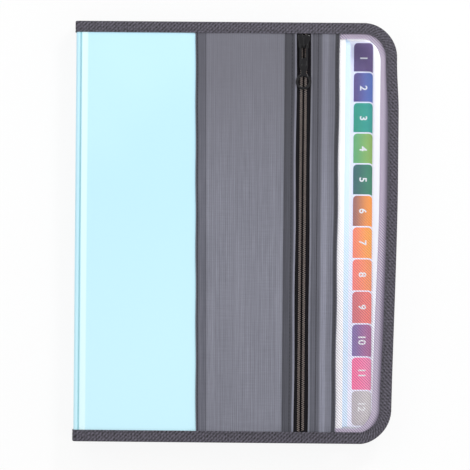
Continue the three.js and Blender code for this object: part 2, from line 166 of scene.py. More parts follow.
class Finish:
    """A material: plain values go straight on its shader; what changes over the surface is fed to it."""

    def __init__(self, name, **plain):
        self.material = bpy.data.materials.new(name)
        self.material.use_nodes = True
        self.tree = self.material.node_tree
        self.shader = self.tree.nodes["Principled BSDF"]
        for socket, value in plain.items():
            self.shader.inputs[socket.replace("_", " ")].default_value = value
        self.where = self.node("ShaderNodeTexCoord", output="Object")
        self.x, self.y, self.z = self.parts(self.where)

    def node(self, kind, settings=(), inputs=(), output=0):
        """Adds a node: its settings first, then the values or links of its sockets; gives one output."""
        made = self.tree.nodes.new(kind)
        for key, value in dict(settings).items():
            setattr(made, key, value)
        for key, value in inputs.items() if isinstance(inputs, dict) else enumerate(inputs):
            value = value.socket if isinstance(value, Value) else value
            if isinstance(value, bpy.types.NodeSocket):
                self.tree.links.new(value, made.inputs[key])
            else:
                made.inputs[key].default_value = value
        return made.outputs[output]

    def parts(self, vector):
        split = self.node("ShaderNodeSeparateXYZ", inputs=(vector,)).node
        return [Value(self, socket) for socket in split.outputs]

    def laid(self):
        """The piece's own flat coordinates, along its UV map, in metres."""
        return self.parts(self.node("ShaderNodeUVMap", {"uv_map": "flat"}))[:2]

    def noise(self, scale, detail=3.0, where=None):
        """Cloudy noise from 0 to 1; scale is clouds per metre along each axis."""
        spread = {"Vector": where or self.where, "Scale": scale}
        vector = self.node("ShaderNodeMapping", inputs=spread)
        clouds = {"Vector": vector, "Scale": 1.0, "Detail": detail}
        return Value(self, self.node("ShaderNodeTexNoise", inputs=clouds))

    def mix(self, share, first, second, blend="MIX"):
        settings = {"data_type": "RGBA", "blend_type": blend}
        return self.node("ShaderNodeMix", settings, {0: share, 6: first, 7: second}, output=2)

    def feed(self, **sockets):
        for name, value in sockets.items():
            value = value.socket if isinstance(value, Value) else value
            self.tree.links.new(value, self.shader.inputs[name.replace("_", " ")])
        return self

    def bump(self, height, depth, strength=1.0):
        """Feeds a height from 0 to 1, that is depth mm deep, to the shader's normal."""
        raised = {"Height": height, "Distance": depth * MM, "Strength": strength}
        return self.feed(Normal=self.node("ShaderNodeBump", inputs=raised))


def ink(red, green, blue):
    """A screen colour, 0 to 255, as the linear colour that a shader takes."""
    c = np.array([red, green, blue]) / 255
    return (*np.where(c < 0.04045, c / 12.92, ((c + 0.055) / 1.055) ** 2.4).tolist(), 1.0)


def groove(d):
    """How deep a score line is at distance d from its middle: half a cosine wave."""
    return np.where(abs(d) < SCORE_REACH, SCORE_DEPTH * (1 + np.cos(np.pi * d / SCORE_REACH)) / 2, 0)


def cover_profile(ends):
    """The front cover's closed section, x and z: along the face from ends[0] to the fold, over the score,
    round the bend, down to the spine's score, and back inside at the sheet's thickness."""
    bend = np.radians(np.linspace(0, 90, 13))
    cx, cz = SPINE_FACE + FOLD_RADIUS, FACE - FOLD_RADIUS
    near = np.linspace(-112, cx, 60)
    down = np.linspace(cz, FACE - SCORE_INSET, 12)
    score_x, score_z = SPINE_FACE + SCORE_INSET, FACE - SCORE_INSET
    lift = 0.22 * bell(near, -118.8, 2.2)
    outer = [
        np.stack([ends, np.full_like(ends, FACE)], 1),
        np.stack([near, FACE + lift - groove(near - score_x)], 1),
        np.stack([cx - FOLD_RADIUS * np.sin(bend), cz + FOLD_RADIUS * np.cos(bend)], 1)[1:],
        np.stack([SPINE_FACE + groove(down - score_z), down], 1)[1:],
    ]
    inner_radius = FOLD_RADIUS - SHEET
    inner = [
        np.stack([np.full(5, SPINE_FACE + SHEET), np.linspace(score_z, cz, 5)], 1),
        np.stack([cx - inner_radius * np.sin(bend[::-1]), cz + inner_radius * np.cos(bend[::-1])], 1)[1:],
        np.stack([ends[::-1], np.full_like(ends, FACE - SHEET)], 1),
    ]
    return np.concatenate(outer + inner)


def panel(name, section, half, rows=49):
    """A sheet of the given closed section, x and z; its y at each point runs from minus to plus half(x)."""
    share = np.linspace(-1, 1, rows)[:, None]
    x, z = section[:, 0], section[:, 1]
    grid = np.stack(np.broadcast_arrays(x, share * half(x), z), -1)
    ring = np.concatenate([grid, grid[:, :1]], 1)
    return surface(name, grid, flat=ring[..., :2] * MM, round_across=True, capped=True)


def rounded(x):
    """Half the height of a cover at x: full as far as the corner's centre, then a quarter circle less."""
    past = np.clip(x - (OPEN_EDGE - CORNER), 0, CORNER)
    return SHEET_HEAD - CORNER + np.sqrt(CORNER**2 - past**2)


def drawn_in(x, y, most):
    """How far x moves where sewing draws in the opening edge: most at the foot, a little at the head."""
    head, foot = smooth((y - 95) / 40), smooth((50 - y) / 230)
    return -(1.6 * head + most * foot) * smooth((x - 84) / 36)


def pull_in(piece, most):
    """Moves a cover's corners by drawn_in."""
    for corner in piece.data.vertices:
        corner.co.x += float(drawn_in(corner.co.x / MM, corner.co.y / MM, most)) * MM
    return piece


FRONT_FOOT, BACK_FOOT = 4.0, 3.0
blue = Finish("cover_sheet_blue", Roughness=0.3, Coat_Weight=0.25, Coat_Roughness=0.12)
pale = blue.noise((7, 5, 9), 2)
cover = blue.mix(pale.step(0.35, 0.7), ink(189, 232, 249), ink(194, 236, 251))
cover = blue.mix(blue.y.step(-0.16, 0.1), ink(199, 240, 252), cover)
# Painted highlight: a pale band beside the front's score, where the curved sheet catches the light; it also
# stands for the plastic whitening beside the crease.
highlight_and_whitening = blue.x.band(-0.1213, -0.1168, 0.0006) * blue.z.step(0.030, 0.0325)
cover = blue.mix(highlight_and_whitening * 0.75, cover, ink(226, 252, 254))
# Painted shade: the score line's groove is painted dark teal.
scored = blue.x.band(-0.1230, -0.1216, 0.0003) * blue.z.step(0.030, 0.032)
cover = blue.mix(scored * 0.6, cover, ink(112, 178, 188))
inside = blue.z.band(0.0016, 0.0026, 0.0002) * blue.x.step(0.100, 0.108)
blue.feed(Base_Color=blue.mix(inside, cover, ink(236, 238, 246)))
grain = blue.noise((900, 260, 900), 3)
blue.feed(Roughness=0.26 + 0.1 * grain)
blue.bump(grain, 0.01, 0.3)

front_ends = np.linspace(SHEET_END, -110, 45)
front = panel("cover_front", cover_profile(front_ends), lambda x: np.full_like(x, SHEET_HEAD))
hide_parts("front_cover_sheet")
ridden(front, None, blue)
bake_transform(front)

corner_turn = np.radians(np.linspace(90, 0, 20))
back_ends = np.concatenate([OPEN_EDGE - CORNER + CORNER * np.sin(corner_turn), np.linspace(95, -110, 50)])
back_section = cover_profile(back_ends)
back_section[:, 1] = BOUND - back_section[:, 1]
back = pull_in(panel("cover_back", back_section, rounded), BACK_FOOT)
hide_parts("back_cover_sheet")
ridden(back, None, blue)
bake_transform(back)

spine_low, spine_high = BOUND - FACE + SCORE_INSET, FACE - SCORE_INSET
spine_z = np.linspace(spine_high, spine_low, 40)
scores = groove(spine_z - spine_high) + groove(spine_z - spine_low)
spine_out = np.stack([SPINE_FACE + scores, spine_z], 1)
spine_in = np.stack([np.full(9, SPINE_FACE + SHEET), np.linspace(spine_low, spine_high, 9)], 1)
spine = panel("cover_spine", np.concatenate([spine_out, spine_in]), lambda x: np.full_like(x, SHEET_HEAD))
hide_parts("spine_sheet")
ridden(spine, "spine", blue)

# Clear window: a 0.4 mm film from under the pocket's strip to the opening edge, sewn in under the
# ribbon. It has fine slanting ribs, plainest toward the foot. Beside the ribbon its rim is welded, and
# so looks frosted, and a painted shadow darkens the rim toward the ribbon; the clear part inside the rim
# is a rectangle with elliptic corners.
WINDOW_START = 73.3
FILM = 0.4
RIB_PITCH = 1.55
film_curve = OPEN_EDGE - CORNER + CORNER * np.sin(corner_turn[::-1])
film_x = np.concatenate([np.linspace(WINDOW_START, 98, 14), film_curve])
film_top = FACE - 0.06 + 0.05 * np.sin(film_x / 4.1)
film_section = np.concatenate([
    np.stack([film_x, film_top], 1),
    np.stack([film_x[::-1], film_top[::-1] - FILM], 1),
])
film = pull_in(panel("window", film_section, rounded, rows=81), FRONT_FOOT)
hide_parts("window_film")
clear = Finish("window_film_clear", Roughness=0.12, IOR=1.45)
RIM_CORNER = 0.0984, 0.1345         # centre of the clear part's corners, in metres
RIM_REACH = 0.0139, 0.01795         # and how far each corner reaches from it
RIM_LOWER = 0.00035                 # the clear part's middle is this far below the cover's
RIM_DRAWN = 0.0043                  # how far the foot's end of the rim is drawn in
lower = 1 - clear.y.step(-0.11, 0.06)
drawn_x = clear.x + RIM_DRAWN * (1 - clear.y.step(-0.15, 0.04))
from_middle = clear.y.math("ABSOLUTE", clear.y + RIM_LOWER)
corner_x = clear.x.math("MAXIMUM", drawn_x - RIM_CORNER[0], 0.0) * (1 / RIM_REACH[0])
corner_y = clear.x.math("MAXIMUM", from_middle - RIM_CORNER[1], 0.0) * (1 / RIM_REACH[1])
out = clear.node("ShaderNodeCombineXYZ", inputs=(corner_x, corner_y, 0.0))
out = Value(clear, clear.node("ShaderNodeVectorMath", {"operation": "LENGTH"}, (out,), output="Value"))
rim = out.step(0.985, 1.03)
ribs = ((clear.x + clear.y) * (1 / math.sqrt(2))).wave(RIB_PITCH * MM)
tint = clear.mix(ribs, ink(120, 110, 140), ink(250, 248, 252))
rim_tint = clear.mix(ribs, ink(136, 124, 152), ink(218, 206, 224))
# Painted shadow: the rim grows darker toward the ribbon.
rim_tint = clear.mix(out.step(1.16, 1.46) * 0.75, rim_tint, ink(104, 96, 116))
clear.feed(Base_Color=clear.mix(rim, tint, rim_tint))
clear.feed(Alpha=0.008 + (1 - ribs) * (0.02 + 0.2 * lower) + rim * 0.7)
clear.bump(ribs, 0.03, 0.4)
ridden(film, "front_cover", clear)

# File pocket: a gusset of pale film folded like a concertina, welded between a white rear panel and a
# white front panel. The three CAD pieces stay, with the panels' edges softened and a better finish. The
# panels glow weakly where they show beside the tabs and at the front panel's edge: an emission, painted
# light that brightens the deep pocket.
white = Finish("white_panel", Roughness=0.42, Coat_Weight=0.1, Emission_Strength=1.0)
fleck = white.noise((260, 260, 260), 3)
# Painted shade: the front panel is painted darker where the cover lies over it.
shaded_under_cover = (1 - white.x.step(0.055, 0.078)) * white.z.step(0.020, 0.022)
paper_white = white.mix(fleck, ink(243, 242, 245), ink(250, 249, 251))
white.feed(Base_Color=white.mix(shaded_under_cover, paper_white, ink(222, 224, 229)))
# Painted light: an emission makes the rear panel beside the tabs and the front panel's open edge glow.
glow = white.x.step(0.100, 0.106) * white.z.step(0.0026, 0.0029) * 0.42
glow = glow + white.x.step(0.076, 0.080) * white.z.step(0.030, 0.031) * 0.14
white.feed(Emission_Color=white.mix(glow, ink(0, 0, 0), ink(255, 255, 255)))
white.bump(fleck, 0.015, 0.3)
gusset_film = Finish("gusset_film", Roughness=0.3, Coat_Weight=0.2)
# Painted shade: darker and paler bands at the pitch of the concertina's folds.
folds = gusset_film.z.wave(2.1154 * MM)
streak = gusset_film.noise((30, 30, 700), 2)
gusset_tint = gusset_film.mix(folds, ink(132, 164, 200), ink(232, 242, 252))
gusset_film.feed(Base_Color=gusset_film.mix(streak * 0.3, gusset_tint, ink(236, 244, 252)))
gusset_film.bump(streak, 0.02, 0.4)


JOINED_WITHIN = 1e-6


def soften(node, width, segments=2, angle=30):
    """Joins a CAD node's loose triangles and rounds its edges, as modifiers that leave the mesh alone."""
    weld = node.modifiers.new("join", "WELD")
    weld.merge_threshold = JOINED_WITHIN
    edge = node.modifiers.new("edges", "BEVEL")
    edge.width, edge.segments, edge.limit_method = width * MM, segments, "ANGLE"
    edge.angle_limit, edge.harden_normals = math.radians(angle), True


for name in ("rear_panel", "front_panel"):
    ridden(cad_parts[name], None, white)
    soften(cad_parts[name], 0.12)
ridden(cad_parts["gusset"], None, gusset_film)

# Dividers and their labels: twelve thin sheets, each with a tab one step further down, and a printed
# paper label on every tab. The tabs show the numbers 1 to 12 in white, turned to read downwards.
# Painted light: the sheets glow weakly in their own tint, an emission.
divider = Finish("divider_sheet", Roughness=0.35, Coat_Weight=0.15, Emission_Strength=0.22)
# Painted shade: the sheets are darker and bluer left of the tabs, where they lie stacked.
on_tab = divider.x.step(0.0885, 0.0895)
edge_tint = divider.mix(on_tab, ink(204, 224, 243), ink(232, 230, 247))
edge_tint = divider.mix(divider.x.step(0.1065, 0.1078), edge_tint, ink(244, 242, 250))
cloud = divider.noise((90, 12, 90), 2)
divider.feed(Base_Color=divider.mix(cloud * 0.3, edge_tint, ink(214, 232, 248)))
divider.feed(Emission_Color=edge_tint)
divider.bump(cloud, 0.02, 0.2)
LABEL_HUES = [
    ((84, 62, 116), (100, 78, 134)),
    ((86, 66, 130), (80, 110, 186)),
    ((0, 148, 124), (20, 158, 146)),
    ((92, 168, 108), (138, 180, 88)),
    ((34, 94, 96), (40, 128, 96)),
    ((158, 98, 88), (252, 154, 52)),
    ((246, 126, 90), (252, 164, 56)),
    ((245, 116, 98), (250, 146, 76)),
    ((204, 92, 96), (246, 116, 98)),
    ((110, 82, 150), (172, 82, 140)),
    ((243, 88, 145), (244, 126, 172)),
    ((182, 174, 178), (206, 200, 200)),
]
LABEL_LEFT, LABEL_RIGHT = 0.0923, 0.1073
DIGIT_HEIGHT = 5.6
NUMBER_DROP = 12.0                  # from a label's head to the middle of its number
digit_white = Finish("number_print", Roughness=0.5)
print_grain = digit_white.noise((900, 900, 900), 2)
digit_white.feed(Base_Color=digit_white.mix(print_grain, ink(238, 238, 242), ink(250, 250, 252)))
for number, (first, last) in enumerate(LABEL_HUES, 1):
    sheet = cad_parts[f"divider_{number:02}"]
    ridden(sheet, None, divider)
    soften(sheet, 0.08, 1)
    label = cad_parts[f"label_{number:02}"]
    # Painted light: each label glows weakly in its printed colour, an emission.
    paper = Finish(f"label_paper_{number:02}", Roughness=0.42, Coat_Weight=0.1, Emission_Strength=0.13)
    fibre = paper.noise((500, 500, 500), 3)
    across = paper.x.step(LABEL_LEFT, LABEL_RIGHT)
    printed = paper.mix(across, ink(*first), ink(*last))
    paper.feed(Base_Color=paper.mix(fibre * 0.05, printed, ink(255, 255, 255)), Emission_Color=printed)
    paper.bump(fibre, 0.01, 0.3)
    ridden(label, None, paper)
    low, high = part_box(label.name)
    text = bpy.data.curves.new(f"digits_{number:02}", "FONT")
    text.body, text.align_x, text.align_y = str(number), "CENTER", "CENTER"
    text.size, text.offset, text.extrude = DIGIT_HEIGHT * MM / 0.7, 0.18 * MM, 0.02 * MM
    text.resolution_u = 6
    maker = bpy.data.objects.new("digits", text)
    bpy.context.scene.collection.objects.link(maker)
    digits = bpy.data.meshes.new_from_object(maker.evaluated_get(bpy.context.evaluated_depsgraph_get()))
    bpy.data.objects.remove(maker)
    middle = ((low.x + high.x) / 2, high.y - NUMBER_DROP * MM, high.z + 0.03 * MM)
    digits.transform(Matrix.Translation(middle) @ Matrix.Rotation(math.radians(-90), 4, "Z"))
    piece = bpy.data.objects.new(f"number_{number:02}", digits)
    bpy.context.scene.collection.objects.link(piece)
    ridden(piece, "back", digit_white)

# Zip pocket: grey polyester on the front cover, hemmed at its left edge, rising over the zip tape to a
# doubled facing. The hem, the facing and both ends are sewn down; the ends go in under the ribbon.
CLOTH_LOW, CLOTH_HIGH = 33.4, 34.85  # underside on the cover, and over the zip tape
CLOTH, DOUBLED = 0.7, 1.1
SEWN_END = 160.0                    # the cloth's ends, under the ribbon
PRESSED = 0.6                       # share of its height that the cloth keeps at the ribbon
COVER_TOP = 33.2
POCKET_LEFT, HEM_RIGHT = -32.0, -24.2
TAPE_LEFT, FACING_LEFT, POCKET_RIGHT = 39.3, 38.5, 46.8
STITCH_DENT = 0.28


def under_ribbon(inset):
    """How much of its rise a layer under the ribbon has at a distance from the cover's edge."""
    return smooth((inset - 2) / 7)


def pressed(y):
    """Share of the cloth's height left at y: all of it inside, less near the ribbon, least at its ends."""
    inset = 165 - abs(y)
    open_share = PRESSED + (1 - PRESSED) * smooth((inset - 9) / 7)
    return np.where(inset > 9, open_share, PRESSED * under_ribbon(inset))


def cloth_section(x, under, thick):
    """A closed section: the upper face over x, then the underside back, both ends rounded like a fold."""
    middle, half = under + thick / 2, thick / 2
    to_end = np.minimum(x - x[0], x[-1] - x)
    nose = np.sqrt(np.clip(1 - (1 - np.clip(to_end / 0.5, 0, 1)) ** 2, 0, 1))
    top = np.stack([x, middle + half * nose], 1)
    low = np.stack([x, middle - half * nose], 1)
    return np.concatenate([top, low[-2:0:-1]])


def spaced(left, right, count):
    """Places from left to right, close together near both ends: a cosine spacing mixed with an even one."""
    t = np.linspace(0, 1, count)
    return left + (right - left) * (0.45 * t + 0.55 * (1 - np.cos(np.pi * t)) / 2)


def cloth_piece(name, section, shift, billow):
    """The section carried along y, moved sideways by shift(x, y), raised by billow(x, y) and pressed at its
    ends."""
    y = spaced(-SEWN_END, SEWN_END, 221)[:, None]
    x, z = section[:, 0][None], section[:, 1][None]
    raised = COVER_TOP + (z + billow(x, y) - COVER_TOP) * pressed(y)
    grid = np.stack(np.broadcast_arrays(x + shift(x, y), y, raised), -1)
    flat = np.stack(np.broadcast_arrays(x, y), -1)
    flat = np.concatenate([flat, flat[:, :1]], 1) * MM
    return surface(name, grid, flat, round_across=True, capped=True, crisp=60)


panel_x = np.concatenate([
    spaced(POCKET_LEFT, -22, 60)[:-1], np.linspace(-22, 34, 90)[:-1], spaced(34, POCKET_RIGHT, 70),
])
climb = (panel_x - HEM_RIGHT) / (TAPE_LEFT - HEM_RIGHT)
panel_under = CLOTH_LOW + (CLOTH_HIGH - CLOTH_LOW) * smooth(climb)
in_hem, in_facing = 1 - smooth((panel_x - HEM_RIGHT + 0.3) / 0.6), smooth((panel_x - FACING_LEFT + 0.4) / 0.8)
doubled = np.maximum(in_hem, in_facing)
panel_thick = CLOTH + (DOUBLED - CLOTH) * doubled
HEM_SEAM, FACING_SEAM = -30.6, 43.2
dents = sum(bell(panel_x, seam, 0.5) for seam in (HEM_SEAM, FACING_SEAM, FACING_LEFT - 0.6))
panel_section = cloth_section(panel_x, panel_under, panel_thick - STITCH_DENT * dents)


def panel_shift(x, y):
    """The hem is sewn a little askew, and the fold beside the zip wavers."""
    askew = (0.75 - 1.25 * y / 150) * (1 - smooth((x + 32) / 60))
    return askew + 0.22 * np.sin(y / 17.3 + 1.1) * smooth((x - 40) / 5) + 0.15 * np.sin(y / 9.1) * (x < -24)


def panel_billow(x, y):
    """Slack between hem and facing, and the slow puckers beside the seams."""
    slack = smooth((x + 24) / 20) * (1 - smooth((x - 16) / 22))
    slow = 0.28 + 0.18 * np.sin(y / 31 + x / 23) + 0.12 * np.sin(y / 13.7 - x / 9.5 + 2)
    pucker = 0.06 * np.sin(y * 2 * np.pi / 3.1) * (bell(x, HEM_SEAM, 1.6) + bell(x, FACING_SEAM, 1.6))
    return slack * slow + pucker


pocket = cloth_piece("pocket_panel_cloth", panel_section, panel_shift, panel_billow)
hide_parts("pocket_panel")


def woven(name, painted_light_bands):
    """Grey polyester: fine threads both ways and warp streaks along the cloth, a little darker toward the
    head; each (from, to, soft, shade) of painted_light_bands across it, in mm, darkens a seam, hem or
    sloping facing with painted shade, and each band above 255 lightens a fold or ridge with a painted
    highlight."""
    cloth = Finish(name, Roughness=0.78, Sheen_Weight=0.25, Sheen_Roughness=0.5)
    across, along = cloth.laid()
    flat = cloth.node("ShaderNodeUVMap", {"uv_map": "flat"})
    warp = cloth.noise((1500, 45, 1), 2, flat)
    weft = cloth.noise((60, 1300, 1), 2, flat)
    slow = cloth.noise((25, 9, 1), 2, flat)
    streaks = cloth.noise((620, 7, 1), 2, flat)
    threads = across.wave(0.0016) * 0.2 + weft * 0.3 + warp * 0.55 + (streaks - 0.5) * 0.55
    colour = cloth.mix(threads + 0.25 * (slow - 0.5), ink(80, 81, 92), ink(142, 143, 156))
    colour = cloth.mix(along.step(0.0, 0.155) * 0.6, colour, ink(98, 97, 106))
    for low, high, soft, shade in painted_light_bands:
        where = across.band(low * MM, high * MM, soft * MM)
        colour = cloth.mix(where, colour, ink(shade, shade, shade + 3), "MULTIPLY")
    cloth.feed(Base_Color=colour, Roughness=0.72 + 0.16 * weft)
    return cloth.bump(across.wave(0.00095) * 0.5 + along.wave(0.0011) * 0.5 + warp * 0.4, 0.09, 0.6)


# Painted shade on the hem, its seam, the hem's edge, the facing and its seam; a painted highlight on the
# facing's fold edge.
panel_cloth = woven("pocket_cloth_grey", [
    (-33.5, -24.6, 0.5, 205),
    (-31.1, -30.0, 0.25, 150),
    (-24.6, -23.6, 0.3, 190),
    (37.2, 45.3, 0.5, 155),
    (42.7, 43.7, 0.3, 205),
    (45.5, 47.4, 0.3, 276),
])
ridden(pocket, "front_cover", panel_cloth)

# Edge strip: the same cloth right of the zip, folded under beside it, with a raised ridge over its
# seam allowance and a hem that comes down on the window's edge, where it is sewn through.
STRIP_LEFT, STRIP_RIGHT = 57.8, 80.0
RIDGE_LEFT, RIDGE_RIGHT, RIDGE_LIFT = 66.8, 71.6, 0.5
strip_x = spaced(STRIP_LEFT, STRIP_RIGHT, 110)
descent = smooth((strip_x - RIDGE_RIGHT) / (STRIP_RIGHT - RIDGE_RIGHT))
strip_under = CLOTH_HIGH - (CLOTH_HIGH - CLOTH_LOW) * descent
ridge_t = np.clip((strip_x - RIDGE_LEFT) / (RIDGE_RIGHT - RIDGE_LEFT), 0, 1)
STRIP_SEAM, HEM_SEAM_RIGHT = 63.6, 78.2
strip_dents = sum(bell(strip_x, seam, 0.45) for seam in (STRIP_SEAM, HEM_SEAM_RIGHT))
strip_thick = DOUBLED + RIDGE_LIFT * np.sin(np.pi * ridge_t) - STITCH_DENT * strip_dents
strip_section = cloth_section(strip_x, strip_under, strip_thick)


def strip_shift(x, y):
    """The hem runs slightly askew over the window, and both folds waver."""
    hem = smooth((x - 66) / 12) * (0.0035 * y + 0.2 * np.sin(y / 12.3))
    return hem + 0.2 * np.sin(y / 19.7 + 2) * (1 - smooth((x - 57) / 5))


def strip_billow(x, y):
    """Slow waves along the strip and puckers between its stitches."""
    pucker = bell(x, STRIP_SEAM, 1.4) + bell(x, HEM_SEAM_RIGHT, 1.4)
    return 0.1 * np.sin(y / 21 + x / 6) + 0.05 * np.sin(y * 2 * np.pi / 3.1) * pucker + 0.1


strip = cloth_piece("pocket_edge_strip", strip_section, strip_shift, strip_billow)
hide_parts("pocket_strip")
# Painted shade beside the fold, on the seam and on the hem; a painted highlight on the raised ridge.
strip_cloth = woven("edge_strip_grey", [
    (59.2, 60.6, 0.3, 176),
    (60.6, 66.4, 0.5, 188),
    (63.1, 64.1, 0.25, 215),
    (67.2, 71.6, 0.6, 272),
    (72.4, 76.6, 0.6, 238),
    (76.5, 79.4, 0.35, 132),
])
ridden(strip, "front_cover", strip_cloth)

# Zip tape: black woven tape each side of the chain, sewn under the facing and under the strip.
TAPE_LOW, TAPE_HIGH = 34.25, 34.65
TAPE_GAP = 0.35                     # from the middle of the zip to each tape
ZIP_X, TAPE_WIDTH = 52.2, 12.9
tape_black = Finish("zip_tape_black", Roughness=0.9, Specular_IOR_Level=0.15)
tape_across, tape_along = tape_black.laid()
herring = tape_across.wave(0.0009) * 0.5 + (tape_across + tape_along).wave(0.0012) * 0.5
tape_black.feed(Base_Color=tape_black.mix(herring, ink(10, 9, 12), ink(26, 24, 29)))
tape_black.bump(herring, 0.06, 0.6)
for side, sign in (("left", -1), ("right", 1)):
    tape_x = ZIP_X + sign * np.linspace(TAPE_GAP, TAPE_GAP + TAPE_WIDTH, 27)
    cord = 0.12 * bell(tape_x, ZIP_X + sign * 4.6, 0.5)
    tape_x = tape_x if sign > 0 else tape_x[::-1]
    cord = cord if sign > 0 else cord[::-1]
    tape_section = cloth_section(tape_x, np.full_like(tape_x, TAPE_LOW), TAPE_HIGH - TAPE_LOW + cord)
    tape_y = spaced(-159, 159, 121)[:, None]
    sunk = np.where(abs(tape_y) > 155.8, under_ribbon(165 - abs(tape_y)), 1.0)
    tape_z = COVER_TOP + (tape_section[:, 1][None] - COVER_TOP) * sunk
    tape_grid = np.stack(np.broadcast_arrays(tape_section[:, 0][None], tape_y, tape_z), -1)
    tape_flat = np.concatenate([tape_grid, tape_grid[:, :1]], 1)[..., :2] * MM
    tape = surface(f"zip_tape_{side}_woven", tape_grid, tape_flat, round_across=True, capped=True, crisp=60)
    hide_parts(f"zip_tape_{side}")
    ridden(tape, "front_cover", tape_black)

# Zip guard: a strip of thin black cloth glued to the cover under the chain, so that the blue doesn't
# show between the tapes. The photo shows black there, and the strip is a guess at how it is made.
GUARD_LEFT, GUARD_RIGHT, GUARD_LOW, GUARD_HIGH, GUARD_END = 43.0, 61.4, 33.17, 33.28, 159.0
guard_x = np.linspace(GUARD_LEFT, GUARD_RIGHT, 13)
guard_z = np.concatenate([np.full(13, GUARD_HIGH), np.full(13, GUARD_LOW)])
guard_section = np.stack([np.concatenate([guard_x, guard_x[::-1]]), guard_z], 1)
guard = panel("zip_guard", guard_section, lambda x: np.full_like(x, GUARD_END))
ridden(guard, "front_cover", tape_black)

# Zip chain: a nylon coil on each tape, one turn to a tooth, the two coils half a turn apart. The chain
# is drawn closed over its whole length, and its foot end dips in under the ribbon.
TOOTH_PITCH = 1.5
COIL_MIDDLE, COIL_REACH, WIRE = 1.7, 0.9, 0.26
COIL_FLOOR, COIL_RISE = 35.35, 0.3
COIL_END = 155.3
turns = int(2 * COIL_END / TOOTH_PITCH)
# Painted highlight: the black nylon coil is painted a bright brown-grey, so that its turns look lit.
nylon = Finish("zip_nylon", Roughness=0.3, Coat_Weight=0.3)
coil_highlight_noise = nylon.noise((700, 700, 700), 2)
nylon.feed(Base_Color=nylon.mix(coil_highlight_noise, ink(86, 78, 76), ink(156, 143, 137)))
thread_dark = Finish("sewing_thread", Roughness=0.7, Sheen_Weight=0.2)
twist = (thread_dark.x + thread_dark.y).wave(0.0005)
thread_dark.feed(Base_Color=thread_dark.mix(twist, ink(38, 38, 44), ink(74, 74, 84)))
thread_dark.bump(twist, 0.04, 0.5)


def tube(path, radius, sides=5):
    """A round tube of one radius along a path: rings of points square to the path's direction."""
    along = np.gradient(path, axis=0)
    along /= np.linalg.norm(along, axis=1, keepdims=True)
    side = np.cross(along, [0, 0.2, 1.0])
    side /= np.linalg.norm(side, axis=1, keepdims=True)
    up = np.cross(side, along)
    a = np.linspace(0, 2 * np.pi, sides, endpoint=False)[None, :, None]
    around = np.cos(a) * side[:, None] + np.sin(a) * up[:, None]
    return path[:, None] + radius * around


def stitches(name, starts, ends, up, radius=0.2, arch=0.22):
    """Short threads from each start to each end: a spindle whose middle is raised by arch along up, and
    whose radius falls away at both ends; all of them are one mesh."""
    t = np.linspace(0, 1, 6)[None, :, None, None]
    a = np.linspace(0, 2 * np.pi, 6, endpoint=False)[None, None, :, None]
    starts, ends, up = (np.asarray(v, float)[:, None, None, :] for v in (starts, ends, up))
    along = (ends - starts) / np.linalg.norm(ends - starts, axis=-1, keepdims=True)
    side = np.cross(along, up)
    swell = radius * np.sqrt(np.clip(1 - (2 * t - 1) ** 4, 0.04, 1))
    middle = starts + (ends - starts) * t + up * (arch * np.sin(np.pi * t) - 0.08)
    rings = middle + swell * (np.cos(a) * side + np.sin(a) * up)
    return surface(name, rings, round_across=True, capped=True)


for side, sign in (("left", -1), ("right", 1)):
    phase = np.linspace(0, turns * 2 * np.pi, turns * 12 + 1)
    y = -COIL_END + TOOTH_PITCH * (phase / (2 * np.pi) + (0.5 if sign > 0 else 0.0))
    sink = 1 - 0.45 * smooth((-y - 149) / 6)
    z = COVER_TOP + 1.05 + (COIL_FLOOR - COVER_TOP - 1.05 + COIL_RISE * np.sin(phase)) * sink
    x = ZIP_X + sign * (COIL_MIDDLE - COIL_REACH * np.cos(phase))
    wire = tube(np.stack([x, y, z], 1), WIRE)
    coil = surface(f"zip_coil_{side}_nylon", wire, round_across=True, capped=True)
    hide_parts(f"zip_coil_{side}")
    ridden(coil, "front_cover", nylon)

# Seams: dark thread in stitches about 3 mm apart, along the hem, the facing and both edges of the
# strip.
STITCH, STITCH_STEP = 2.3, 3.1
stitch_y = np.arange(-152, 152, STITCH_STEP)
seam_lines = [
    ("seam_hem", HEM_SEAM, panel_section, panel_shift, panel_billow),
    ("seam_facing", FACING_SEAM, panel_section, panel_shift, panel_billow),
    ("seam_strip", STRIP_SEAM, strip_section, strip_shift, strip_billow),
    ("seam_strip_hem", HEM_SEAM_RIGHT, strip_section, strip_shift, strip_billow),
]
for name, seam, section, shift, billow in seam_lines:
    order = np.argsort(section[: len(section) // 2, 0])
    top = np.interp(seam, section[order, 0], section[order, 1])

    def on_cloth(y):
        """Points of the seam on the cloth's upper face at y."""
        x = np.full_like(y, seam)
        z = COVER_TOP + (top + billow(x, y) - COVER_TOP) * pressed(y)
        return np.stack([x + shift(x, y), y, z + 0.05], 1)

    upward = np.tile([0.0, 0.0, 1.0], (len(stitch_y), 1))
    seam_piece = stitches(name, on_cloth(stitch_y), on_cloth(stitch_y + STITCH), upward)
    ridden(seam_piece, "front_cover", thread_dark)

# Slider and pull: die-cast metal with a glossy black enamel. Their CAD pieces stay; modifiers wrap each
# in one even skin and smooth it, so that its edges are round as cast edges are.
SKIN = 0.17
enamel = Finish("slider_enamel", Roughness=0.12, Specular_IOR_Level=0.4)
cast = enamel.noise((420, 420, 420), 3)
enamel.feed(Base_Color=enamel.mix(cast, ink(6, 6, 8), ink(22, 21, 25)))
enamel.feed(Roughness=0.09 + 0.1 * cast)
enamel.bump(cast, 0.22, 1.0)
for name in ("zip_slider", "zip_pull"):
    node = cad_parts[name]
    ridden(node, None, enamel)
    node.modifiers.new("join", "WELD").merge_threshold = JOINED_WITHIN
    skin = node.modifiers.new("skin", "REMESH")
    skin.mode, skin.voxel_size, skin.use_smooth_shade = "VOXEL", SKIN * MM, True
    worn_round = node.modifiers.new("round", "SMOOTH")
    worn_round.factor, worn_round.iterations = 0.5, 14

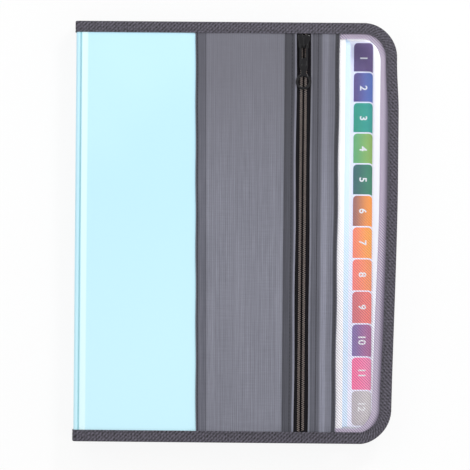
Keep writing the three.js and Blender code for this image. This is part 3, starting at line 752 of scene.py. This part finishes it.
# Ribbon binding: a 20 mm woven ribbon folded over the raw edge of both covers and of the spine and
# sewn through near its inner edges. It runs on over the folds, and rides up over the pocket's ends.
RIBBON_WIDTH, RIBBON_HALF, RIBBON = 9.0, 1.45, 0.6
EDGE_X, EDGE_Y, EDGE_RADIUS = 127.0, 165.0, 27.0
RIBBON_SEAM = 7.3                   # from the cover's edge to the stitches


def ribbon_section():
    """Inset and height of the folded ribbon, a closed line: the outside from the upper inner edge round the
    fold to the lower one, then the inside back."""
    leg = np.linspace(RIBBON_WIDTH, 1.4, 22)
    fold = np.linspace(0, np.pi, 15)[1:-1]
    cosine, sine = np.cos(fold), np.abs(np.sin(fold)) ** 0.75
    tall = np.sign(cosine) * np.abs(cosine) ** 0.75

    def line(half, depth):
        upper = np.stack([leg, np.full_like(leg, half)], 1)
        bend = np.stack([1.4 - depth * sine, half * tall], 1)
        return np.concatenate([upper, bend, (upper * [1, -1])[::-1]])

    return np.concatenate([line(RIBBON_HALF, 1.4), line(RIBBON_HALF - RIBBON, 1.4 - RIBBON)[::-1]])


def ribbon(name, place, inward, normal, width, lift=None):
    """The ribbon's section carried along stations: a place on the edge, the inward direction and the
    sheet's normal. width scales the legs, and lift raises the upper leg's inner edge. Corners get gathers."""
    section = ribbon_section()
    inset, height = section[:, 0][None], section[:, 1][None]
    step = np.linalg.norm(np.diff(place, axis=0), axis=1)
    along = np.concatenate([[0], np.cumsum(step)])[:, None]
    wide = inset * width[:, None] / RIBBON_WIDTH
    upper = smooth((height - 0.2) / 0.5)
    tall = height - np.sign(height) * 0.16 * bell(inset, RIBBON_SEAM, 0.55)
    if lift is not None:
        tall = tall + lift[:, None] * upper * under_ribbon(inset)
    turning = np.linalg.norm(np.gradient(inward, axis=0), axis=1)[:, None] > 1e-4
    gather = 0.13 * np.sin(along * 2 * np.pi / 2.9) * smooth((inset - 3) / 6) * turning
    tall = tall + gather * np.sign(height)
    grid = place[:, None] + wide[..., None] * inward[:, None] + tall[..., None] * normal[:, None]
    ring = np.concatenate([section, section[:1]])
    across = np.concatenate([[0], np.cumsum(np.linalg.norm(np.diff(ring, axis=0), axis=1))])[None]
    flat = np.stack(np.broadcast_arrays(along, across), -1) * MM
    return surface(name, grid, flat, round_across=True, capped=True, crisp=50)


def edge_line(middle, fold_side):
    """Stations of a cover's free edge, foot to head: down the foot side of the spine fold, along the foot,
    round both corners of the opening edge, and back along the head. fold_side is 1 for a fold that turns
    down from a front cover, and -1 for one that turns up from a back cover."""
    bend = np.radians(np.linspace(90, 0, 9))
    fold_x, mid_radius = SPINE_FACE + FOLD_RADIUS, FOLD_RADIUS - SHEET / 2
    fold_z = middle - fold_side * mid_radius
    seam_z = middle + fold_side * (SHEET / 2 - SCORE_INSET)
    spine_x = fold_x - mid_radius
    turned_z = fold_z + fold_side * mid_radius * np.cos(bend)
    turned = np.stack([fold_x - mid_radius * np.sin(bend), turned_z], 1)
    run_x = np.linspace(fold_x, EDGE_X - EDGE_RADIUS, 261)[1:]
    first = np.concatenate([[[spine_x, seam_z]], turned, np.stack([run_x, np.full_like(run_x, middle)], 1)])
    tilt = np.concatenate([[np.pi / 2], bend, np.zeros_like(run_x)])
    foot = np.stack([first[:, 0], np.full(len(first), -EDGE_Y), first[:, 1]], 1)
    foot_in = np.tile([0.0, 1.0, 0.0], (len(first), 1))
    foot_up = np.stack([-np.sin(tilt), 0 * tilt, fold_side * np.cos(tilt)], 1)
    angle = np.radians(np.linspace(-90, 0, 61))[1:]
    centre = np.array([EDGE_X - EDGE_RADIUS, EDGE_RADIUS - EDGE_Y, middle])
    out = np.stack([np.cos(angle), np.sin(angle), 0 * angle], 1)
    turn = centre + EDGE_RADIUS * out
    side_y = np.linspace(EDGE_RADIUS - EDGE_Y, 0, 140)[1:]
    side = np.stack([np.full_like(side_y, EDGE_X), side_y, np.full_like(side_y, middle)], 1)
    half_place = np.concatenate([foot, turn, side])
    half_in = np.concatenate([foot_in, -out, np.tile([-1.0, 0.0, 0.0], (len(side), 1))])
    flat_up = np.tile([0.0, 0.0, float(fold_side)], (len(turn) + len(side), 1))
    half_up = np.concatenate([foot_up, flat_up])
    mirror = np.array([1, -1, 1])
    return [np.concatenate([h, (h * mirror)[-2::-1]]) for h in (half_place, half_in, half_up)]


twill = Finish("ribbon_twill", Roughness=0.75, Sheen_Weight=0.08, Sheen_Roughness=0.45)
ribbon_along, ribbon_across = twill.laid()
weave_map = twill.node("ShaderNodeUVMap", {"uv_map": "flat"})
slanted = (ribbon_along + ribbon_across).wave(0.0032)
ribbed = ribbon_along.wave(0.0023)
worn = twill.noise((620, 620, 1), 2, weave_map)
weave = slanted * 0.5 + ribbed * 0.2 + (worn - 0.5) * 1.6 + 0.15
twill_tint = twill.mix(weave, ink(15, 13, 19), ink(99, 95, 108))
twill.feed(Base_Color=twill_tint, Roughness=0.66 + 0.2 * worn)
twill.bump(slanted * 0.6 + ribbed * 0.4, 0.12, 0.7)

front_place, front_in, front_up = edge_line(FACE - SHEET / 2, 1)
front_place[:, 0] += drawn_in(front_place[:, 0], front_place[:, 1], FRONT_FOOT)
on_run = (abs(front_place[:, 1]) > EDGE_Y - 0.01) & (front_place[:, 2] > 32.5)
rise_at = np.interp(
    front_place[:, 0],
    [-36, -32.6, -25, 0, 36, 40, 57, 70, 76, 80.5, 84],
    [0, 0.85, 0.62, 0.72, 1.5, 1.75, 1.8, 2.1, 1.5, 0.8, 0],
) * on_run
head_side, foot_side = front_place[:, 1] > 100, front_place[:, 1] < -100
across_width = np.where(head_side, 8.7, np.where(foot_side, 9.2, 8.3))
across_width = np.convolve(np.pad(across_width, 20, mode="edge"), np.ones(41) / 41, mode="valid")
front_ribbon = ribbon("binding_front", front_place, front_in, front_up, across_width, rise_at)
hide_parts("front_binding")
ridden(front_ribbon, None, twill)
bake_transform(front_ribbon)

back_place, back_in, back_up = edge_line(BOUND - FACE + SHEET / 2, -1)
back_place[:, 0] += drawn_in(back_place[:, 0], back_place[:, 1], BACK_FOOT)
back_width = np.full(len(back_place), RIBBON_WIDTH)
back_ribbon = ribbon("binding_back", back_place, back_in, back_up, back_width)
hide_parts("back_binding")
ridden(back_ribbon, None, twill)
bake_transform(back_ribbon)

for end, side in (("head", 1), ("foot", -1)):
    z = np.linspace(spine_low, spine_high, 31)
    place = np.stack([np.full_like(z, SPINE_FACE + SHEET / 2), np.full_like(z, side * EDGE_Y), z], 1)
    inward = np.tile([0.0, -float(side), 0.0], (len(z), 1))
    normal = np.tile([-1.0, 0.0, 0.0], (len(z), 1))
    spine_width = np.full(len(z), RIBBON_WIDTH)
    spine_ribbon = ribbon(f"binding_spine_{end}", place, inward, normal, spine_width)
    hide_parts(f"spine_binding_{end}")
    ridden(spine_ribbon, "spine", twill)

# Ribbon seams: one line of stitches through both legs of each ribbon and the sheet between them, drawn
# on the outer face of each cover. Over the folds of the spine the stitches are left out.
no_rise = np.zeros(len(back_place))
for name, body, place, inward, normal, width, lift in (
    ("seam_binding_front", "front_cover", front_place, front_in, front_up, across_width, rise_at),
    ("seam_binding_back", "back", back_place, back_in, back_up, back_width, no_rise),
):
    flat_run = place[:, 0] > -121
    place, inward, normal, width, lift = (v[flat_run] for v in (place, inward, normal, width, lift))
    height = RIBBON_HALF - 0.1 + lift * under_ribbon(RIBBON_SEAM)
    line = place + (width * RIBBON_SEAM / RIBBON_WIDTH)[:, None] * inward + height[:, None] * normal
    along = np.concatenate([[0], np.cumsum(np.linalg.norm(np.diff(line, axis=0), axis=1))])
    at = np.arange(1.5, along[-1] - 3, STITCH_STEP)

    def on_ribbon(s, values):
        """The line's values at distances s along it."""
        return np.stack([np.interp(s, along, values[:, k]) for k in range(3)], 1)

    upward = on_ribbon(at, normal)
    seam_piece = stitches(name, on_ribbon(at, line), on_ribbon(at + STITCH, line), upward)
    ridden(seam_piece, body, thread_dark)

# Floor: plain, pale and wide, just under the lowest stitch. The camera sees it nearly white, and it
# keeps a faint shadow.
FLOOR_HALF, FLOOR_Z, FLOOR_GLOW = 4, -0.0003, 0.88
floor_mesh = bpy.data.meshes.new("floor")
floor_corners = [(sx * FLOOR_HALF, sy * FLOOR_HALF, FLOOR_Z) for sx, sy in ((-1, -1), (1, -1), (1, 1), (-1, 1))]
floor_mesh.from_pydata(floor_corners, [], [(0, 1, 2, 3)])
floor = bpy.data.objects.new("floor", floor_mesh)
bpy.context.scene.collection.objects.link(floor)
ground = Finish("floor_paper", Base_Color=(0.86, 0.86, 0.86, 1), Roughness=0.9)
rays = ground.node("ShaderNodeLightPath").node
seen = Value(ground, rays.outputs["Is Camera Ray"]) + Value(ground, rays.outputs["Is Glossy Ray"])
seen = seen + Value(ground, rays.outputs["Is Transmission Ray"])
glow = ground.node("ShaderNodeEmission", inputs={"Color": (1, 1, 1, 1), "Strength": 1.0})
both = ground.node("ShaderNodeMixShader", inputs={0: seen * FLOOR_GLOW, 1: ground.shader.outputs[0], 2: glow})
ground.tree.links.new(both, ground.tree.nodes["Material Output"].inputs["Surface"])
floor_mesh.materials.append(ground.material)

# Light: an even pale studio, with a broad soft lamp above on the left, a weaker one on the right and a
# small bright one at the right of the head, which makes the glints.
SKY = 0.61
world = bpy.data.worlds.new("studio")
bpy.context.scene.world = world
world.use_nodes = True
sky = world.node_tree
path = sky.nodes.new("ShaderNodeLightPath")
shown = sky.nodes.new("ShaderNodeMath")
shown.operation = "MAXIMUM"
sky.links.new(path.outputs["Is Camera Ray"], shown.inputs[0])
sky.links.new(path.outputs["Is Transmission Ray"], shown.inputs[1])
level = sky.nodes.new("ShaderNodeMapRange")
level.inputs["To Min"].default_value, level.inputs["To Max"].default_value = SKY, 1.0
sky.links.new(shown.outputs[0], level.inputs["Value"])
sky.links.new(level.outputs[0], sky.nodes["Background"].inputs["Strength"])
sky.nodes["Background"].inputs["Color"].default_value = (1, 1, 1, 1)
for name, spot, size, power in (
    ("lamp_left", (-0.75, 0.55, 1.35), 1.1, 5.6),
    ("lamp_right", (0.9, -0.5, 1.2), 0.9, 3.4),
    ("lamp_spark", (0.45, 0.75, 1.1), 0.26, 6.5),
):
    lamp = bpy.data.lights.new(name, "AREA")
    lamp.size, lamp.energy = size, power
    holder = bpy.data.objects.new(name, lamp)
    bpy.context.scene.collection.objects.link(holder)
    holder.location = spot
    aim = -holder.location
    holder.rotation_mode = "QUATERNION"
    holder.rotation_quaternion = aim.to_track_quat("-Z", "Y")

# Camera: 2.4 metres above the front cover and nearly square to it, where the outline and the depth of
# the tabs below the window fit the photograph best.
EYE_LENS, EYE_PLACE, EYE_TURN = 231.3, (0.0284, 0.0210, 2.4), (-0.549, 0.702, 0.5)
eye = bpy.data.cameras.new("camera")
eye.lens, eye.sensor_width, eye.clip_start = EYE_LENS, 36, 0.01
camera = bpy.data.objects.new("camera", eye)
bpy.context.scene.collection.objects.link(camera)
camera.location = EYE_PLACE
camera.rotation_euler = [math.radians(turn) for turn in EYE_TURN]
bpy.context.scene.camera = camera
bpy.context.scene.view_settings.view_transform = "Standard"
